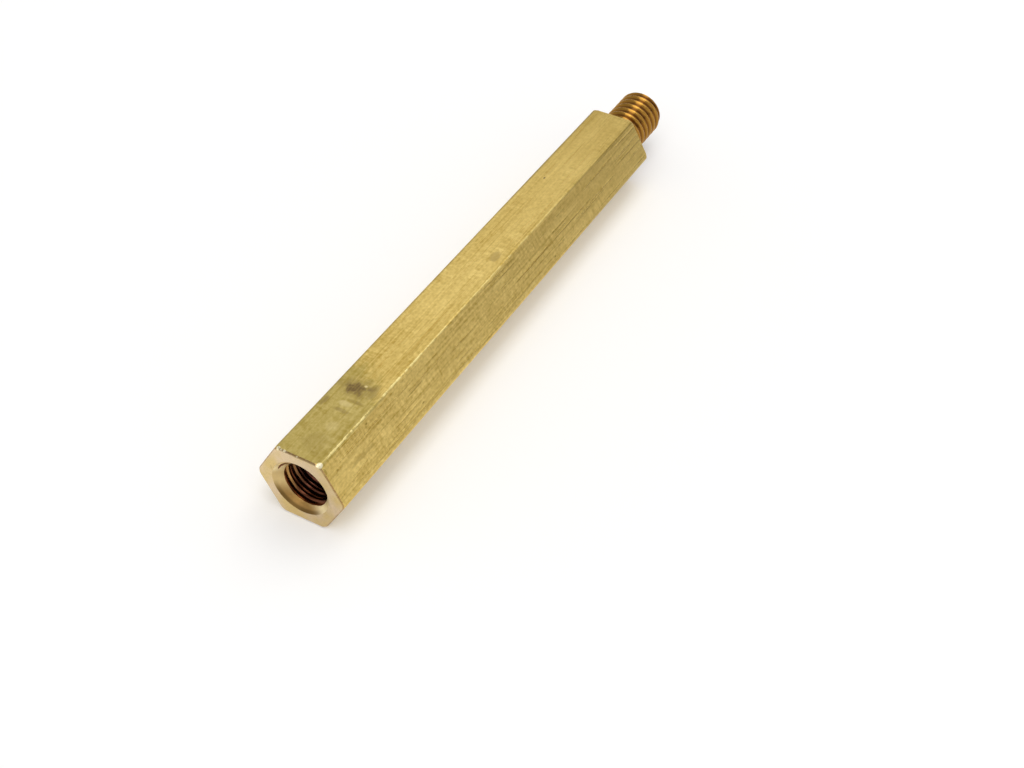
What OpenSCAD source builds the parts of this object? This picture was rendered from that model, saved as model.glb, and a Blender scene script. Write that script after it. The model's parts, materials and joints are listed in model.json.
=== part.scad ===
// Male-female hex standoff, turned in one piece from drawn hexagon brass bar.
// It lies on one of its flats. The middle of the tapped end face is the origin,
// and the stud points along +X.

/* [Hex body] */
// Length between the two end faces
body_len = 45; // [18:1:100]
// Width across opposite flats
hex_af = 5.9; // [4.9:0.1:12]
// Radius of the six long edges of the drawn bar
long_edge_r = 0.2; // [0.05:0.05:0.6]
// Width of the bevel along each flat at both ends
end_bevel = 0.12; // [0.04:0.02:0.3]
// How far the turned cone at both ends cuts in from a sharp corner
corner_cut = 0.22; // [0.1:0.02:0.4]

/* [Thread] */
// Nominal thread diameter of the stud and the tapped hole
thread_d = 4; // [2.5:0.1:5]
// Thread pitch
thread_pitch = 0.7; // [0.35:0.05:1]

/* [Tapped hole] */
// Depth of the hole's straight wall, measured from the end face
hole_depth = 12; // [4:0.5:16]
// How much wider than the thread the countersunk mouth is
mouth_over = 0.4; // [0.1:0.1:0.7]
// Included angle of the drill point at the bottom
drill_angle = 118; // [90:1:140]

/* [Stud] */
// Length from the shoulder to the tip
stud_len = 6; // [3:0.5:20]
// How much narrower than the nominal thread the stud's crests are
crest_under = 0.15; // [0.02:0.01:0.3]
// How much narrower than the nominal thread the relief neck is
neck_under = 1.1; // [0.9:0.05:1.6]
// Length of the relief neck before it slopes up to the crests
neck_len = 1.1; // [0.5:0.1:1.5]
// Radius in the corner between the neck and the shoulder
neck_fillet = 0.2; // [0.05:0.05:0.4]
// Depth of the step that the grooving tool leaves in the shoulder round the neck
groove_step = 0.04; // [0.02:0.01:0.05]
// How far outside the crests that step ends
groove_over = 0.15; // [0.15:0.05:0.25]
// Width of the bevel at the tip
tip_bevel = 0.45; // [0.1:0.05:0.8]

/* [Hidden] */
$fn = 96;
BRASS = [0.78, 0.68, 0.4];
SIDES = 6;
SIDE_TURN = 360 / SIDES;
// Distance that a cutting shape reaches past the surface it cuts
PAST = 0.5;
// Depth of the stud's root inside the hex body
ROOT = 1;

apothem = hex_af / 2;
corner_r = apothem / cos(SIDE_TURN / 2);
// Centres of the long edges' rounds, and the half width of flat between two of them
round_at = (apothem - long_edge_r) / cos(SIDE_TURN / 2);
flat_half = (apothem - long_edge_r) * tan(SIDE_TURN / 2);
trimmed_r = corner_r - corner_cut;
bore_r = (thread_d - thread_pitch) / 2;
mouth_r = (thread_d + mouth_over) / 2;
point_len = bore_r / tan(drill_angle / 2);
crest_r = (thread_d - crest_under) / 2;
neck_r = (thread_d - neck_under) / 2;
groove_r = crest_r + groove_over;

// Section of the drawn bar: three bands that cross, and a round on each corner
module bar_section() {
    for (turn = [0:SIDE_TURN:180 - SIDE_TURN])
        rotate(turn)
            square([hex_af, 2 * flat_half], center = true);
    for (turn = [SIDE_TURN / 2:SIDE_TURN:360 - SIDE_TURN / 2])
        rotate(turn)
            translate([round_at, 0])
                circle(long_edge_r);
}

// What the bevels along the flats take off the end at the base
module flat_bevels() {
    for (turn = [0:SIDE_TURN:360 - SIDE_TURN])
        rotate(turn)
            translate([apothem, 0])
                rotate([90, 0, 0])
                    linear_extrude(height = hex_af, center = true)
                        polygon([[-end_bevel - PAST, -PAST], [PAST, end_bevel + PAST], [PAST, -PAST]]);
}

// Room that the turning tool leaves: a 45 degree cone at each end trims the corners
module turned_room() {
    outer_r = corner_r + PAST;
    cone_len = outer_r - trimmed_r;
    rotate_extrude()
        polygon([
            [0, 0],
            [trimmed_r, 0],
            [outer_r, cone_len],
            [outer_r, body_len - cone_len],
            [trimmed_r, body_len],
            [0, body_len]
        ]);
}

// Hex body with both ends finished
module hex_body() {
    difference() {
        intersection() {
            linear_extrude(height = body_len)
                bar_section();
            turned_room();
        }
        flat_bevels();
        translate([0, 0, body_len])
            mirror([0, 0, 1])
                flat_bevels();
    }
}

// What the grooving tool takes off the shoulder at the base, so that it bears outside the crests
module shoulder_step() {
    rotate_extrude()
        polygon([
            [0, -groove_step],
            [groove_r - groove_step, -groove_step],
            [groove_r + PAST, PAST],
            [0, PAST]
        ]);
}

// Stud at its crests' width, with the relief neck and the bevelled tip, from the shoulder up
module stud() {
    rotate_extrude() {
        polygon([
            [0, -ROOT],
            [neck_r, -ROOT],
            [neck_r, neck_len],
            [crest_r, neck_len + crest_r - neck_r],
            [crest_r, stud_len - tip_bevel],
            [crest_r - tip_bevel, stud_len],
            [0, stud_len]
        ]);
        translate([neck_r, -groove_step])
            difference() {
                square(neck_fillet);
                translate([neck_fillet, neck_fillet])
                    circle(neck_fillet);
            }
    }
}

// Drilled hole at tapping width, with a 90 degree countersink and a drill point
module tapped_hole() {
    rotate_extrude()
        polygon([
            [0, -PAST],
            [mouth_r + PAST, -PAST],
            [bore_r, mouth_r - bore_r],
            [bore_r, hole_depth],
            [0, hole_depth + point_len]
        ]);
}

// The whole part, turned from its own axis on Z to lie along X on a flat
module standoff() {
    color(BRASS)
        rotate([0, 90, 0])
            union() {
                difference() {
                    hex_body();
                    tapped_hole();
                    translate([0, 0, body_len])
                        shoulder_step();
                }
                translate([0, 0, body_len])
                    stud();
            }
}

standoff();
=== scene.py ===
import json
import math

import bpy
import numpy as np
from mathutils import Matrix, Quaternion, Vector


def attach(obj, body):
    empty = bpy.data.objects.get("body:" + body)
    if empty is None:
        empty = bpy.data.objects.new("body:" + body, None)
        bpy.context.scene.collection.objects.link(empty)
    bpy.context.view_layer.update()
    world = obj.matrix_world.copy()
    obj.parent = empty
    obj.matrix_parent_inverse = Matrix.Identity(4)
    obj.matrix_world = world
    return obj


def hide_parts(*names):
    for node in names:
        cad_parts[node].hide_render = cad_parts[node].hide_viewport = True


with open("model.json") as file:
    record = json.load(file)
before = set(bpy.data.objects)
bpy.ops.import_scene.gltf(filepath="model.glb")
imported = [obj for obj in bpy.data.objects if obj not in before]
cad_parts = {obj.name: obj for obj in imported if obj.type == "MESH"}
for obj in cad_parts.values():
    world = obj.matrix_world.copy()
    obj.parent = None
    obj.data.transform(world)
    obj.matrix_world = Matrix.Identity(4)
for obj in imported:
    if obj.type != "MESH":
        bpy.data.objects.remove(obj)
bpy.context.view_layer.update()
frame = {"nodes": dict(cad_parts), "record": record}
NODE = "standoff"
MM = 0.001

# The thread, in mm: M4 x 0.7, right-handed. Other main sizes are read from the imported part.
THREAD_D = 4.0
PITCH = 0.7


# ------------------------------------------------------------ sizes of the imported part, in mm

POINTS = np.array([v.co for v in frame["nodes"][NODE].data.vertices], float) / MM
RADII = np.hypot(POINTS[:, 1], POINTS[:, 2])
MOUNTS = {m["name"]: m for m in frame["record"]["mounts"]}
NEAR = 0.002
SIXTH = math.radians(60)


def at_plane(x):
    """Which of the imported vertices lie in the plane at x."""
    return np.abs(POINTS[:, 0] - x) < NEAR


# Hex body
BODY_END = MOUNTS["shoulder"]["pos_m"][0] / MM
APOTHEM = -MOUNTS["lower_flat"]["pos_m"][2] / MM
EDGE_R = (APOTHEM / math.cos(SIXTH / 2) - POINTS[:, 1].max()) / (1 / math.cos(SIXTH / 2) - 1)
ROUND_AT = (APOTHEM - EDGE_R) / math.cos(SIXTH / 2)
FLAT_HALF = (APOTHEM - EDGE_R) * math.tan(SIXTH / 2)
END_BEVEL = APOTHEM - POINTS[at_plane(0), 2].max()
TRIMMED_R = RADII[at_plane(0)].max()

# Tapped hole
BORE_R = MOUNTS["tapped_hole"]["dims"]["r_mm"]
BORE_FROM = MOUNTS["tapped_hole"]["pos_m"][0] / MM
BORE_TO = BORE_FROM + MOUNTS["tapped_hole"]["dims"]["length_mm"]
MOUTH_R = BORE_R + BORE_FROM
BORE_POINT = POINTS[(RADII < NEAR) & (POINTS[:, 0] < BODY_END), 0].max()

# Stud, and the step that the grooving tool leaves in the shoulder
CREST_R = MOUNTS["stud"]["dims"]["r_mm"]
CREST_FROM = MOUNTS["stud"]["pos_m"][0] / MM
TIP = POINTS[:, 0].max()
TIP_BEVEL = TIP - CREST_FROM - MOUNTS["stud"]["dims"]["length_mm"]
NECK_R = RADII[(POINTS[:, 0] > BODY_END + NEAR) & (POINTS[:, 0] < CREST_FROM - NEAR)].min()
NECK_TO = CREST_FROM - CREST_R + NECK_R
STEP_FLOOR = POINTS[(RADII > NECK_R) & (RADII < CREST_R) & (POINTS[:, 0] > BORE_POINT), 0].min()
FILLET_R = RADII[at_plane(STEP_FLOOR)].min() - NECK_R
STEP_INNER_R = RADII[at_plane(STEP_FLOOR)].max()
STEP_R = STEP_INNER_R + BODY_END - STEP_FLOOR


# ------------------------------------------------------------ the shape of the surface, in mm

SOFT = 0.03         # radius that breaks the edges of the end bevels
CORNER_SOFT = 0.12  # how far the hex corners' passage into the end cones is rounded
WORN_SOFT = 0.3     # the same at the corner of the tapped end that is knocked
WORN_CORNER = 2 * SIXTH
WORN_REACH = math.radians(8)
TIP_SOFT = 0.2      # the same as SOFT at the stud's tip, which is more worn
FULL_THREAD = 10.0  # depth to which the tapped thread is full
LEAD = 1.5 * PITCH  # length over which the tap's cut runs out after that
THREAD_TO = FULL_THREAD + LEAD
NIB_R = 0.13        # the pip that the cut-off tool leaves on the tip
TIP_DISH = 0.02     # how deep the tip face is hollowed round it
NIB_FOOT_R = 1.5 * NIB_R
FLANK = math.tan(math.radians(30))
THREAD_DEPTH = 0.6134 * PITCH
ROOT_R = THREAD_D / 2 - THREAD_DEPTH
CREST_FLAT = PITCH / 8 + 2 * (THREAD_D / 2 - CREST_R) * FLANK
ROOT_FLAT = PITCH - CREST_FLAT - 2 * (CREST_R - ROOT_R) * FLANK
NUT_ROOT_FLAT = PITCH / 8
NUT_CREST_FLAT = PITCH - NUT_ROOT_FLAT - 2 * (THREAD_D / 2 - BORE_R) * FLANK
ROUNDING = 0.35     # how much the thread's corners are rounded, as a share of its depth
HELIX_LINES = 14    # lines of the mesh in each pitch
STUD_START = PITCH * 2 / HELIX_LINES    # where a crest of each thread crosses the +Y side
BORE_START = PITCH * 10 / HELIX_LINES

BURR_HEIGHT = 0.15  # how far a burr stands out, as a share of its reach
BURRS = [           # on the tapped end's rim: x, y, z, reach, share of its colour
    (0.15, -1.64, 2.9, 0.2, 1.0),
    (0.07, 1.5, 2.92, 0.15, 1.0),
    (0.06, 1.25, 2.93, 0.07, 0.8),
    (0.06, 1.0, 2.93, 0.1, 0.9),
    (0.04, 0.04, 2.93, 0.06, 0.6),
]


def soft_min(a, b, blend):
    """The smaller of two numbers, with a smooth passage between them."""
    return min(a, b) - max(blend - abs(a - b), 0) ** 2 / (4 * blend)


def off_edge(ray):
    """Angle between a ray and the nearest long edge."""
    return abs((ray + SIXTH / 2) % SIXTH - SIXTH / 2)


def on_round(turn):
    """Angle from a long edge's middle to a point on its round, given the turn round its centre."""
    return math.atan2(EDGE_R * math.sin(turn), ROUND_AT + EDGE_R * math.cos(turn))


def bar_radius(ray):
    """Radius of the drawn bar along a ray."""
    off = off_edge(ray)
    if off < on_round(SIXTH / 2):
        return ROUND_AT * math.cos(off) + math.sqrt(EDGE_R ** 2 - (ROUND_AT * math.sin(off)) ** 2)
    return APOTHEM / math.cos(SIXTH / 2 - off)


def edge_round(soft):
    """Reach and sagitta of the arc that rounds an edge of a 45 degree bevel."""
    return soft * math.tan(math.radians(22.5)), soft * (1 - math.cos(math.radians(45)))


def bevel_offset(depth, cut, soft):
    """What a 45 degree bevel with rounded edges takes off at a depth below its end face."""
    reach, sagitta = edge_round(soft)
    if depth < sagitta:
        return cut + reach - math.sqrt(soft ** 2 - (soft - depth) ** 2)
    if depth < cut - sagitta:
        return cut - depth
    if depth < cut + reach:
        return soft - math.sqrt(soft ** 2 - (cut + reach - depth) ** 2)
    return 0


def worn_soft(ray):
    """How far the passage into the tapped end's cone is rounded along a ray."""
    near = max(1 - abs(ray - WORN_CORNER) / WORN_REACH, 0)
    return CORNER_SOFT + (WORN_SOFT - CORNER_SOFT) * near


def body_radius(ray, depth, soft=CORNER_SOFT):
    """Radius of the hex body along a ray, at a depth below either end face."""
    cone = TRIMMED_R - bevel_offset(depth, 0, SOFT) if depth < SOFT else TRIMMED_R + depth
    flat = (APOTHEM - bevel_offset(depth, END_BEVEL, SOFT)) / math.cos(SIXTH / 2 - off_edge(ray))
    return min(soft_min(bar_radius(ray), cone, soft), flat)


def burred_radius(ray, depth):
    """Radius of the hex body at the tapped end, with its worn corner and its burrs."""
    radius = body_radius(ray, depth, worn_soft(ray))
    place = Vector((depth, radius * math.cos(ray), radius * math.sin(ray)))
    lift = 0
    for x, y, z, reach, _ in BURRS:
        near = max(1 - ((place - Vector((x, y, z))).length / reach) ** 2, 0)
        lift = max(lift, BURR_HEIGHT * reach * near ** 2)
    return radius + lift


def crest_share(x, turn, crest_flat, root_flat):
    """1 on the thread's crest and 0 in its root, at a place along the axis and a turn round it."""
    from_crest = abs((x / PITCH - turn / math.tau + 0.5) % 1 - 0.5) * PITCH
    flank = (PITCH - crest_flat - root_flat) / 2
    climb = (crest_flat / 2 + flank - from_crest) / flank
    return -soft_min(-soft_min(climb, 1, ROUNDING), 0, ROUNDING)


def stud_radius(x, turn):
    """Radius of the stud: thread, sloping start and bevelled tip."""
    thread = ROOT_R + (CREST_R - ROOT_R) * crest_share(x - STUD_START, turn, CREST_FLAT, ROOT_FLAT)
    slope = NECK_R + max(x - NECK_TO, 0)
    return min(thread, slope, CREST_R - bevel_offset(TIP - x, TIP_BEVEL, TIP_SOFT))


def bore_radius(x, turn):
    """Radius of the tapped hole: thread that runs out inside, and the countersunk mouth."""
    share = crest_share(x - BORE_START, turn, NUT_CREST_FLAT, NUT_ROOT_FLAT)
    lead = min(max((THREAD_TO - x) / LEAD, 0), 1)
    return max(BORE_R + (THREAD_D / 2 - BORE_R) * (1 - share) * lead, MOUTH_R - x)


# ------------------------------------------------------------ one closed mesh, column by column

DRAWN, TURNED, STUD, BORE = range(4)
ARC_STEPS = 4       # on half of a long edge's round
FLAT_STEPS = 11     # on half of a flat
RING_GAP = 0.06     # between rings where a thread starts or ends
DEPTH_GAP = 0.025   # between rings where the hex corners run into the end cones
FIRST_GAP = 0.02    # between the end bevel and the first of those
BEVEL_RINGS = 6     # how many of an end's rings are turned. The others are drawn
FILLET_TURNS = [math.radians(a) for a in (0, 22.5, 45, 67.5, 90)]
SHARP_FROM = math.radians(38)   # edges that turn by more than this stay sharp
SECTION = 1000      # keeps the places of one section clear of the next one's


def bar_rays():
    """One ray for each column: close at the long edges, and wider towards the middle of a flat."""
    half = []
    for i in range(ARC_STEPS):
        half.append(on_round(SIXTH / 2 * i / ARC_STEPS))
    for i in range(FLAT_STEPS):
        across = FLAT_HALF * (1 - (i / FLAT_STEPS) ** 2)
        half.append(SIXTH / 2 - math.atan2(across, APOTHEM))
    sector = half + [SIXTH / 2] + [SIXTH - a for a in reversed(half[1:])]
    return [side * SIXTH + a for side in range(6) for a in sector]


def spread(start, stop, gap):
    """Evenly spaced numbers from start to stop, no further apart than gap."""
    return list(np.linspace(start, stop, math.ceil(abs(stop - start) / gap) + 1))


def helix_places(turn, start, stop, rings):
    """Places along the axis for one column: the given rings, and the helix's own lines.

    A line that all but meets a ring is left out.
    """
    step = PITCH / HELIX_LINES
    shift = PITCH * turn / math.tau
    first = math.ceil((start - shift) / step)
    last = math.floor((stop - shift) / step)
    lines = [k * step + shift for k in range(first, last + 1)]
    kept = [x for x in lines if min(abs(x - r) for r in rings) > step / 8]
    return sorted(rings + kept)


def end_depths():
    """Depths below an end face at which the body gets a ring."""
    reach, sagitta = edge_round(SOFT)
    turned = [0, sagitta / 4, sagitta, END_BEVEL / 2, END_BEVEL - sagitta, END_BEVEL + reach / 3]
    drawn_from = END_BEVEL + reach
    corner_to = bar_radius(0) - TRIMMED_R + WORN_SOFT
    return turned + [drawn_from] + spread(drawn_from + FIRST_GAP, corner_to, DEPTH_GAP)


DEPTHS = end_depths()
BORE_RINGS = spread(0, BORE_FROM, RING_GAP) + spread(THREAD_TO - LEAD, THREAD_TO, LEAD / 4)
STUD_RINGS = (spread(NECK_TO, CREST_FROM, RING_GAP)
              + spread(TIP - TIP_BEVEL - TIP_SOFT / 2, TIP, RING_GAP / 2))
TIP_R = CREST_R - bevel_offset(0, TIP_BEVEL, TIP_SOFT)
DISH_R = 0.6 * TIP_R


def column(ray, turn):
    """One column of the surface, from the drill point out through the mouth and along to the tip.

    Each section is a list of points: a material, a place along the path, x, radius and angle.
    """
    inner = [(BORE_R / 2, BORE_POINT - (BORE_POINT - BORE_TO) / 2), (BORE_R, BORE_TO)]
    hole = helix_places(turn, 0, THREAD_TO, BORE_RINGS)
    hole = [(x, bore_radius(x, turn)) for x in reversed(hole)]
    neck = [(STEP_R, BODY_END), (STEP_INNER_R, STEP_FLOOR)]
    for a in FILLET_TURNS:
        radius = NECK_R + FILLET_R * (1 - math.sin(a))
        neck.append((radius, STEP_FLOOR + FILLET_R * (1 - math.cos(a))))
    stud = helix_places(turn, NECK_TO, TIP, STUD_RINGS)
    nib = [(DISH_R, TIP - TIP_DISH), (NIB_FOOT_R, TIP - TIP_DISH), (NIB_R, TIP)]
    turned, drawn = DEPTHS[:BEVEL_RINGS], DEPTHS[BEVEL_RINGS:]
    return [
        [(BORE, i, x, r, turn) for i, (r, x) in enumerate(inner)],
        [(BORE if r > MOUTH_R - x else TURNED, -x, x, r, turn) for x, r in hole],
        [(TURNED, d, d, burred_radius(ray, d), ray) for d in turned],
        [(DRAWN, d, d, burred_radius(ray, d), ray) for d in drawn],
        [(DRAWN, -d, BODY_END - d, body_radius(ray, d), ray) for d in reversed(drawn)],
        [(TURNED, -d, BODY_END - d, body_radius(ray, d), ray) for d in reversed(turned)],
        [(TURNED, i, x, r, turn) for i, (r, x) in enumerate(neck)],
        [(STUD, x, x, stud_radius(x, turn), turn) for x in stud],
        [(TURNED, i, x, r, turn) for i, (r, x) in enumerate(nib)],
    ]


def standoff_mesh():
    """The mesh, with a material number for each face. Columns share the two points on the axis."""
    rays = bar_rays()
    vertices = [(BORE_POINT, 0, 0), (TIP, 0, 0)]
    columns = []
    for number, ray in enumerate(rays):
        path = [(-1, 0, BORE)]
        for section, points in enumerate(column(ray, math.tau * number / len(rays))):
            for material, place, x, radius, angle in points:
                path.append((section * SECTION + place, len(vertices), material))
                vertices.append((x, radius * math.cos(angle), radius * math.sin(angle)))
        path.append((SECTION ** 2, 1, TURNED))
        columns.append(path)
    faces, materials = [], []
    for a, b in zip(columns, columns[1:] + columns[:1]):
        zip_columns(a, b, faces, materials)
    mesh = bpy.data.meshes.new("standoff")
    mesh.from_pydata(np.array(vertices) * MM, [], faces)
    mesh.polygons.foreach_set("material_index", materials)
    mesh.shade_smooth()
    mesh.set_sharp_from_angle(angle=SHARP_FROM)
    mesh.validate()
    return mesh


def zip_columns(a, b, faces, materials):
    """Fills the strip between two columns with faces, and notes the material of each.

    Points at nearly the same place along the two paths make a quad, others a triangle. First and
    second say which of the columns goes on to its next point.
    """
    together = PITCH / HELIX_LINES / 3
    i = j = 0
    while i < len(a) - 1 or j < len(b) - 1:
        ahead = a[i + 1][0] - b[j + 1][0] if i < len(a) - 1 and j < len(b) - 1 else None
        both = ahead is not None and abs(ahead) < together
        first = both or j == len(b) - 1 or (ahead is not None and ahead < 0)
        second = both or not first
        face = [a[i][1], b[j][1]]
        if second:
            face.append(b[j + 1][1])
        if first:
            face.append(a[i + 1][1])
        face = list(dict.fromkeys(face))
        i, j = i + first, j + second
        if len(face) > 2:
            faces.append(face)
            materials.append(a[i][2] if first else b[j][2])


# ------------------------------------------------------------ materials: places in mm, linear colours

def towards(azimuth, elevation):
    """Unit vector, from angles in degrees. Azimuth 0 is +X, along the bar."""
    a, e = math.radians(azimuth), math.radians(elevation)
    return Vector((math.cos(e) * math.cos(a), math.cos(e) * math.sin(a), math.sin(e)))


class Paint:
    """A node tree in the making. Each method adds nodes and gives back the last one's output."""

    def __init__(self, tree):
        self.tree = tree

    def add(self, kind, *inputs, **settings):
        """Adds a node with its first inputs filled in order, and gives back its first output.

        Names that start with a capital are further inputs. The others are settings.
        """
        node = self.tree.nodes.new(kind)
        for name, value in settings.items():
            if name[0].isupper():
                self.give(node.inputs[name], value)
            else:
                setattr(node, name, value)
        for socket, value in zip(node.inputs, inputs):
            self.give(socket, value)
        return node.outputs[0]

    def give(self, socket, value):
        """Fills an input with another node's output or with a plain value."""
        if isinstance(value, bpy.types.NodeSocket):
            self.tree.links.new(value, socket)
        else:
            socket.default_value = value

    def math(self, operation, *values):
        """A sum, product or the like of numbers."""
        return self.add("ShaderNodeMath", *values, operation=operation)

    def vector(self, operation, *values, **settings):
        """A vector that comes from vectors."""
        return self.add("ShaderNodeVectorMath", *values, operation=operation, **settings)

    def measure(self, operation, *values):
        """A number that comes from vectors, such as a length or a dot product."""
        return self.vector(operation, *values).node.outputs["Value"]

    def scaled(self, base, factor):
        """A colour made brighter or darker."""
        return self.vector("SCALE", base, Scale=factor)

    def total(self, *values):
        """Sum of two or more numbers."""
        result = values[0]
        for value in values[1:]:
            result = self.math("ADD", result, value)
        return result

    def product(self, *values):
        """Product of two or more numbers."""
        result = values[0]
        for value in values[1:]:
            result = self.math("MULTIPLY", result, value)
        return result

    def rise(self, value, start, stop, low=0, high=1):
        """A smooth passage from low to high while a value goes from start to stop."""
        return self.add("ShaderNodeMapRange", value, start, stop, low, high,
                        interpolation_type="SMOOTHSTEP")

    def line(self, value, start, stop, low, high):
        """A straight passage from low to high while a value goes from start to stop."""
        return self.add("ShaderNodeMapRange", value, start, stop, low, high)

    def blend(self, share, a, b):
        """Colour a, or colour b where the share is 1."""
        node = self.add("ShaderNodeMix", share, data_type="RGBA").node
        self.give(node.inputs[6], a)
        self.give(node.inputs[7], b)
        return node.outputs[2]


def colour(red, green, blue):
    """A linear colour that hides what is behind it."""
    return (red, green, blue, 1)


class Metal(Paint):
    """A metal material, with the surface's place in mm."""

    def __init__(self, name):
        self.material = bpy.data.materials.new(name)
        self.material.use_nodes = True
        super().__init__(self.material.node_tree)
        self.shader = self.tree.nodes["Principled BSDF"]
        self.shader.inputs["Metallic"].default_value = 1
        place = self.add("ShaderNodeTexCoord").node.outputs["Object"]
        self.place = self.vector("SCALE", place, Scale=1 / MM)
        split = self.add("ShaderNodeSeparateXYZ", self.place).node
        self.x, self.y, self.z = split.outputs
        self.radius = self.measure("LENGTH", self.vector("MULTIPLY", self.place, (0, 1, 1)))

    def noise(self, stretch, detail=2, shift=0, source=None):
        """Noise around 0, from about -1 to 1, with so many waves in a mm along each axis."""
        at = self.vector("MULTIPLY_ADD", source or self.place, stretch, (shift, shift, shift))
        grey = self.add("ShaderNodeTexNoise", at, Scale=1, Detail=detail)
        return self.line(grey, 0.25, 0.75, -1, 1)

    def marks(self, places, first, across, wobble):
        """Share of the surface that a list of marks covers. Their outlines follow the wobble.

        First and across are the surface's two coordinates that the marks' places are given in.
        """
        covered = 0
        for x, t, half_length, half_width, share in places:
            along = self.math("DIVIDE", self.math("SUBTRACT", first, x), half_length)
            aside = self.math("DIVIDE", self.math("SUBTRACT", across, t), half_width)
            out = self.total(self.product(along, along), self.product(aside, aside),
                             self.product(wobble, 0.7))
            covered = self.math("MAXIMUM", covered, self.rise(out, 1.7, 0.1, 0, share))
        return covered

    def burrs(self, wobble):
        """Share of the surface that takes the burrs' colour on the tapped end's rim: real burrs,
        painted pale as a glint.
        """
        covered = 0
        for x, y, z, reach, share in BURRS:
            away = self.measure("DISTANCE", self.place, (x, y, z))
            away = self.total(away, self.product(wobble, 0.05))
            near = self.rise(away, reach * 1.3, reach * 0.7, 0, share)
            covered = self.math("MAXIMUM", covered, near)
        return covered

    def finish(self, base, roughness, height, depth):
        """Joins colour, roughness and bump to the shader. Depth is the bump's height in mm."""
        self.give(self.shader.inputs["Base Color"], base)
        self.give(self.shader.inputs["Roughness"], roughness)
        bump = self.add("ShaderNodeBump", Height=height, Distance=depth * MM)
        self.give(self.shader.inputs["Normal"], bump)
        return self.material


SMUDGES = [     # on the top flat: x, y, half length, half width, share
    (7.1, 0.2, 0.6, 0.72, 1.0),
    (7.5, -0.7, 0.34, 0.3, 0.75),
    (7.2, 0.0, 0.9, 1.6, 0.3),
    (4.9, -0.1, 0.17, 0.6, 0.35),
    (6.0, -0.45, 0.15, 0.6, 0.35),
    (5.2, 1.4, 0.5, 0.2, 0.4),
    (1.7, -0.4, 1.0, 0.95, 0.14),
    (23.9, -0.83, 0.6, 0.35, 0.35),
    (34.3, 0.7, 0.15, 0.07, 0.8),
]
RUBBED = [      # rubbed bright, with the same columns
    (5.55, 0.05, 0.25, 0.5, 0.4),
    (7.6, -0.25, 0.1, 0.12, 0.8),
    (3.4, -0.4, 0.5, 0.4, 0.25),
]
FLECKS = [      # on the flat that faces -Y and up: x, distance up across it, and the same others
    (10.2, 0.25, 0.9, 0.05, 0.6),
    (10.2, -0.95, 0.15, 0.07, 0.8),
    (5.0, 1.25, 0.1, 0.06, 0.8),
    (1.1, 0.55, 0.08, 0.06, 0.7),
    (30.0, 0.3, 0.2, 0.05, 0.7),
    (29.0, -1.25, 0.15, 0.07, 0.8),
    (3.5, -0.15, 1.2, 0.15, 0.4),
    (0.2, 1.15, 0.12, 0.2, 0.6),
]
PITS = [        # on the tapped end face: y, z, half width, half height, share
    (-1.41, -1.16, 0.06, 0.08, 0.8),
    (-1.75, -0.85, 0.12, 0.05, 0.25),
    (-1.1, -1.95, 0.15, 0.06, 0.25),
    (-2.2, -0.3, 0.08, 0.12, 0.2),
    (2.2, 0.9, 0.1, 0.15, 0.2),
]


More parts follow.
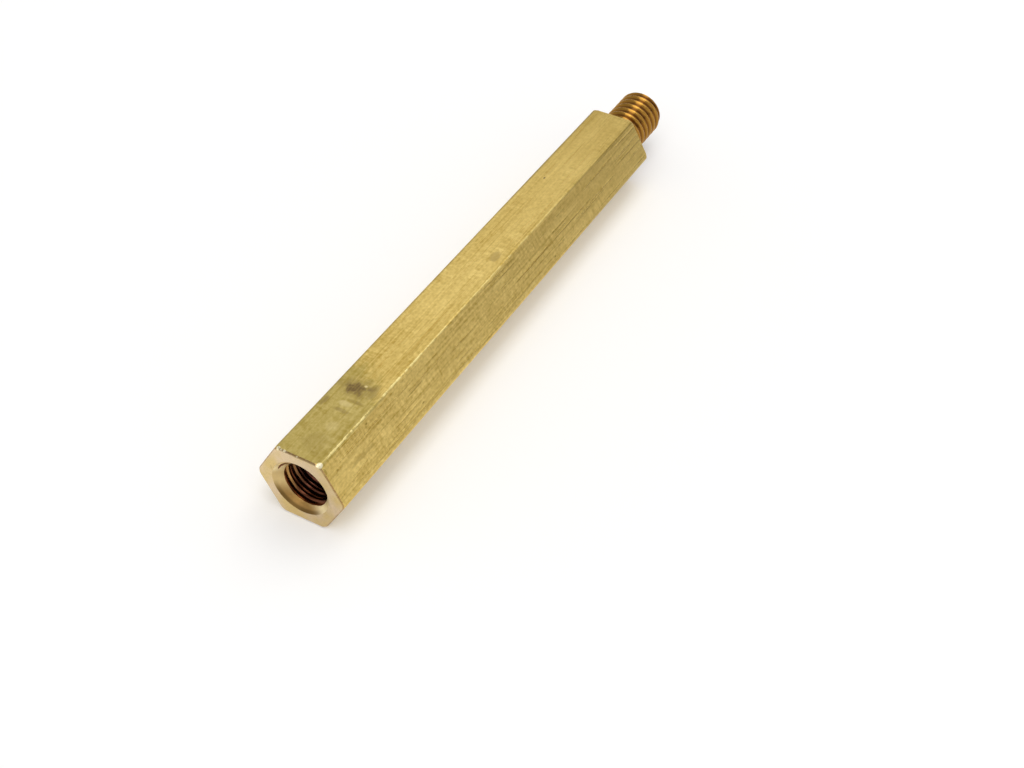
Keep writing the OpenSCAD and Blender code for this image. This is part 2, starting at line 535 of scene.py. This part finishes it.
def drawn_brass():
    """The drawn flats: lines along the bar, a dulling film, marks, painted shade, and worn long edges
    and burrs with painted glints.
    """
    m = Metal("drawn_brass")

    # Which side of the bar
    on_top = m.rise(m.z, 2.7, 2.9)
    on_slope = m.rise(m.measure("DOT_PRODUCT", m.place, towards(-90, 30)), 2.7, 2.9)
    across = m.measure("DOT_PRODUCT", m.place, towards(90, 60))

    # Lines along the bar, grain, and marks across
    bands = m.noise((0.05, 1.8, 1.8), 3)
    lines = m.noise((0.15, 7, 7), 3, 5)
    mottle = m.noise((1.6, 2.4, 2.4), 3, 27)
    grain = m.noise((4, 5, 5), 3, 9)
    cloud = m.noise((0.25, 0.5, 0.5), 3, 3)
    streaks = m.rise(m.noise((0.09, 6, 6), 1, 31), 0.2, 0.7)
    patches = m.rise(m.noise((0.3, 0.6, 0.6), 2, 13), -0.1, 0.6)
    cross = m.product(m.noise((3.5, 0.5, 0.5), 3, 17), patches)
    detail = m.total(m.product(lines, 0.2), m.product(mottle, 0.11), m.product(grain, 0.26),
                     m.product(cross, 0.32), m.product(streaks, -0.22))
    detail = m.product(detail, m.rise(m.x, 22, 40, 1, 0.55), m.total(1, m.product(on_slope, 0.15)))

    # Painted shade along the bar, also near both ends of the top flat, and the dulling film near the
    # tapped end
    painted_shade_top = m.product(on_top, m.total(m.rise(m.x, 17, 11, 0, 0.12), m.rise(m.x, 36, 41, 0, 0.1)))
    tone = m.total(m.line(m.x, 0, BODY_END, 0.565, 0.42), m.product(bands, 0.1),
                   m.product(cloud, 0.08), detail, m.product(painted_shade_top, -1))
    base = m.blend(tone, colour(0.50, 0.335, 0.07), colour(0.93, 0.705, 0.245))
    film_end = m.total(m.x, m.product(mottle, 0.8), m.product(cloud, 2))
    film = m.product(m.rise(film_end, 10, 6.5, 0, 0.75), on_top)
    base = m.blend(film, base, m.blend(tone, colour(0.39, 0.295, 0.064), colour(0.60, 0.49, 0.18)))

    # Marks
    patchy = m.total(0.93, m.product(grain, 0.35), m.product(lines, 0.35))
    dirt = m.product(m.marks(SMUDGES, m.x, m.y, mottle), on_top, patchy)
    rubbed = m.product(m.marks(RUBBED, m.x, m.y, mottle), on_top)
    flecks = m.product(m.marks(FLECKS, m.x, across, mottle), on_slope)
    base = m.blend(dirt, base, colour(0.22, 0.145, 0.055))
    base = m.blend(rubbed, base, colour(0.90, 0.74, 0.36))
    base = m.blend(flecks, base, colour(0.30, 0.19, 0.03))

    # Long edges: painted shade towards the stud end, painted glints in beads near the tapped end, and
    # burrs painted pale as a glint
    edge = m.rise(m.radius, 3.31, 3.35)
    base = m.scaled(base, m.math("SUBTRACT", 1, m.product(edge, m.rise(m.x, 28, 36, 0, 0.2))))
    gaps = m.total(m.noise((2.8, 1, 1), 3, 21), m.noise((0.8, 0.5, 0.5), 2, 35))
    uneven = m.total(m.radius, m.product(m.noise((4, 2, 2), 2, 15), 0.01))
    glint_here = m.product(m.rise(m.z, 2.7, 2.85), m.rise(m.y, 0.5, -0.5), m.rise(m.x, 42, 24))
    glint_beads = m.product(m.rise(gaps, -0.6, 0.25, 0.1, 1), m.rise(uneven, 3.358, 3.37), glint_here,
                      m.rise(m.x, 16, 9, 0.45, 0.9))
    burrs = m.burrs(mottle)
    # Partly wear and partly painted highlight: beads of painted glint, and real burrs painted pale as
    # a glint
    worn = m.math("MAXIMUM", glint_beads, burrs)
    base = m.blend(worn, base, m.blend(burrs, colour(1.0, 0.84, 0.36), colour(0.97, 0.88, 0.62)))

    rough = m.total(0.30, m.product(film, 0.05), m.product(lines, 0.05), m.product(dirt, 0.1),
                    m.product(edge, 0.06))
    height = m.total(lines, m.product(grain, 0.6), m.product(cross, 0.4), m.product(glint_beads, 4))
    return m.finish(base, rough, height, 0.004)


def turned_brass():
    """Faces cut on the lathe: pale and smooth with fine rings, painted shade, pits, and burrs with a
    painted glint.
    """
    m = Metal("turned_brass")
    rings = m.noise((9, 0, 0), 3, 0, m.add("ShaderNodeCombineXYZ", m.radius))
    cloud = m.noise((0.6, 0.6, 0.6), 3)
    grain = m.noise((5, 5, 5), 3, 7)
    clouded = m.line(cloud, -0.5, 0.5, 0, 1)
    base = m.blend(clouded, colour(0.74, 0.57, 0.35), colour(0.70, 0.52, 0.21))
    # Painted shade: the turned faces a little darker towards -Y
    base = m.scaled(base, m.rise(m.y, -1.5, 1.5, 0.87, 0.95))

    # The countersink: pale, with painted shade low down, on its lower +Y side and round its lower rim
    sunk = m.product(m.rise(m.x, 0.001, 0.01), m.rise(m.x, 2, 1),
                     m.rise(m.radius, MOUTH_R + 0.02, MOUTH_R))
    low = m.rise(m.measure("DOT_PRODUCT", m.place, (0, 0.26, -0.97)), 0.75, 1.8)
    rim = m.product(low, m.rise(m.radius, 1.95, 2.08, 0, 0.5))
    far = m.product(m.rise(m.y, 0.5, 1.7), m.rise(m.z, 0.9, 0.2))
    sink_shade = m.blend(far, colour(0.95, 0.80, 0.46), colour(0.66, 0.49, 0.22))
    sink_shade = m.blend(low, sink_shade, colour(0.38, 0.22, 0.068))
    base = m.blend(sunk, base, m.scaled(sink_shade, m.math("SUBTRACT", 1, rim)))

    # Pits, rings, painted shade on the tapped end's bevel, and burrs painted pale as a glint
    pits = m.product(m.marks(PITS, m.y, m.z, grain), m.rise(m.x, 0.02, 0.01))
    base = m.blend(pits, base, colour(0.16, 0.08, 0.03))
    base = m.scaled(base, m.total(1, m.product(rings, 0.04), m.product(grain, 0.05)))
    bevel = m.product(m.rise(m.x, 0.02, 0.06), m.rise(m.x, 0.3, 0.2), m.rise(m.radius, 2.7, 2.8))
    bevel_shade = m.product(bevel, m.rise(grain, -0.8, 0.2, 0.5, 0.95))
    base = m.blend(bevel_shade, base, colour(0.36, 0.21, 0.07))
    burrs = m.burrs(grain)
    base = m.blend(burrs, base, colour(0.97, 0.86, 0.56))

    rough = m.total(0.24, m.product(rings, 0.04), m.product(sunk, 0.18), m.product(burrs, 0.15))
    plain = m.math("SUBTRACT", 1, burrs)
    height = m.total(rings, m.product(bevel, grain, plain, 4), m.product(burrs, plain, -5))
    return m.finish(base, rough, height, 0.002)


def cut_thread(name, radii, colours, shade_depths, bright, reach):
    """Threads: glossy, with painted shade in the roots, deeper in the hole and on the side away from
    the bright direction.

    Radii are those of root and crest. Colours are the shaded root's, the shaded crest's and the lit
    crest's. The shade_depths say between which places along the axis it darkens, as painted shade.
    Reach says between which distances in the bright direction the shaded crest passes into the lit
    one.
    """
    m = Metal(name)
    root, shaded_crest, lit_crest = colours
    lines = m.noise((9, 1.2, 1.2), 3)
    side = m.measure("DOT_PRODUCT", m.place, bright)
    # Painted shade in the roots and on the crests away from the bright direction
    base = m.blend(m.rise(m.radius, *radii), root, m.blend(m.rise(side, *reach), shaded_crest, lit_crest))
    # Painted shade deeper in the hole
    base = m.blend(m.rise(m.x, *shade_depths), base, colour(0.10, 0.035, 0.022))
    base = m.scaled(base, m.total(1, m.product(lines, 0.05)))
    rough = m.total(0.18, m.product(lines, 0.05))
    return m.finish(base, rough, lines, 0.003)


# ------------------------------------------------------------ the piece

# Each holds the root's, the shaded crest's and the lit crest's colour: painted shade and light on the
# threads
STUD_COLOURS = (colour(0.18, 0.075, 0.015), colour(0.37, 0.19, 0.033), colour(0.53, 0.275, 0.048))
BORE_COLOURS = (colour(0.21, 0.06, 0.012), colour(0.13, 0.045, 0.02), colour(0.72, 0.42, 0.13))
NOWHERE = (TIP + 1, TIP + 2)

mesh = standoff_mesh()
piece = bpy.data.objects.new("brass_standoff", mesh)
bpy.context.scene.collection.objects.link(piece)
BRASS = [
    drawn_brass(),
    turned_brass(),
    cut_thread("stud_thread", radii=(1.72, 1.9), colours=STUD_COLOURS, shade_depths=NOWHERE,
               bright=(0, -0.29, 0.957), reach=(1.1, 1.8)),
    cut_thread("tapped_thread", radii=(1.92, 1.75), colours=BORE_COLOURS, shade_depths=(-0.2, 2.5),
               bright=(0, 0.94, 0.34), reach=(0.1, 1.7)),
]
for material in BRASS:
    mesh.materials.append(material)
weighted = piece.modifiers.new("flat_flats", "WEIGHTED_NORMAL")
weighted.keep_sharp = True
weighted.weight = 60
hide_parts(NODE)
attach(piece, "root")


# ------------------------------------------------------------ floor, light and camera, in metres

FLOOR_HALF = 6
FLOOR_LIFT = 0.19           # takes the lit floor near the object to white
BACKDROP_FROM = 0.15        # how far out the floor starts to turn plain white for the camera
BACKDROP_TO = 0.8
HORIZON, OVERHEAD = 1.0, 0.4    # how bright the room is there
ROOM_MIN = 0.02             # how bright its darkest parts are
ROOM_PATCHES = [            # azimuth, elevation, inner and outer radius in degrees, strength
    (-52, -6, 8, 30, -0.36),
    (-34, -6, 8, 30, -0.8),
    (-42, 40, 8, 24, 0.35),
    (40, 2, 10, 28, -0.75),
    (-140, 4, 4, 15, -0.6),
    (37, 44, 7, 20, 0.46),
    (32, 40, 3, 12, 0.22),
    (-125, 66, 8, 22, 1.6),
]
WHITE = colour(1, 1, 1)


def white_floor():
    """A white floor that takes shadows.

    The camera, metal and glass see it lifted to white. Far off the camera sees plain white.
    """
    low = -APOTHEM * MM
    signs = ((-1, -1), (1, -1), (1, 1), (-1, 1))
    corners = [(x * FLOOR_HALF, y * FLOOR_HALF, low) for x, y in signs]
    mesh = bpy.data.meshes.new("floor")
    mesh.from_pydata(corners, [], [(0, 1, 2, 3)])
    floor = bpy.data.objects.new("floor", mesh)
    bpy.context.scene.collection.objects.link(floor)
    material = bpy.data.materials.new("floor")
    material.use_nodes = True
    p = Paint(material.node_tree)
    path = p.add("ShaderNodeLightPath").node.outputs
    mirrored = p.math("MAXIMUM", path["Is Glossy Ray"], path["Is Transmission Ray"])
    seen = p.math("MAXIMUM", path["Is Camera Ray"], mirrored)
    away = p.measure("LENGTH", p.add("ShaderNodeTexCoord").node.outputs["Object"])
    backdrop = p.product(path["Is Camera Ray"], p.rise(away, BACKDROP_FROM, BACKDROP_TO))
    glow = p.add("ShaderNodeEmission", WHITE, p.total(p.product(seen, FLOOR_LIFT), backdrop))
    paint = p.add("ShaderNodeBsdfDiffuse", colour(0.86, 0.85, 0.84))
    surface = p.add("ShaderNodeAddShader", paint, glow)
    p.give(p.tree.nodes["Material Output"].inputs["Surface"], surface)
    mesh.materials.append(material)


def studio_walls():
    """The room round the object: pale at the horizon, with brighter and darker patches.

    It lights the object and shows in its metal. The camera sees it as white or brighter.
    """
    world = bpy.data.worlds.new("studio")
    bpy.context.scene.world = world
    world.use_nodes = True
    p = Paint(world.node_tree)
    sight = p.add("ShaderNodeTexCoord").node.outputs["Generated"]
    height = p.add("ShaderNodeSeparateXYZ", sight).node.outputs["Z"]
    level = p.rise(height, 0.1, 0.7, HORIZON, OVERHEAD)
    for azimuth, elevation, inner, outer, strength in ROOM_PATCHES:
        near = p.measure("DOT_PRODUCT", sight, towards(azimuth, elevation))
        starts, full = math.cos(math.radians(outer)), math.cos(math.radians(inner))
        level = p.total(level, p.rise(near, starts, full, 0, strength))
    seen = p.add("ShaderNodeLightPath").node.outputs["Is Camera Ray"]
    level = p.math("MAXIMUM", level, p.math("MAXIMUM", seen, ROOM_MIN))
    background = p.tree.nodes["Background"]
    p.give(background.inputs["Strength"], level)
    p.give(background.inputs["Color"], WHITE)


def softbox(name, place, length, width, radiance):
    """A long lamp that lies along X and shines down."""
    lamp = bpy.data.lights.new(name, "AREA")
    lamp.shape = "RECTANGLE"
    lamp.size = length
    lamp.size_y = width
    lamp.energy = radiance * math.pi * length * width
    box = bpy.data.objects.new(name, lamp)
    bpy.context.scene.collection.objects.link(box)
    box.location = place


white_floor()
studio_walls()
softbox("top_light", place=(-0.2, -0.02, 0.5), length=1.8, width=0.26, radiance=1.4)

AIM = Vector((15.43, -6.99, 0)) * MM    # what the camera looks at
HEADING, DIP, ROLL = 28.1, 43.43, 1.5   # in degrees
DISTANCE = 104.35 * MM
look = towards(HEADING, -DIP)
camera = bpy.data.objects.new("camera", bpy.data.cameras.new("camera"))
bpy.context.scene.collection.objects.link(camera)
camera.location = AIM - look * DISTANCE
roll = Quaternion((0, 0, 1), math.radians(ROLL))
camera.rotation_euler = (look.to_track_quat("-Z", "Y") @ roll).to_euler()
camera.data.sensor_width = 36
camera.data.lens = 52.97
camera.data.clip_start = 0.001
bpy.context.scene.camera = camera
bpy.context.scene.view_settings.view_transform = "Standard"
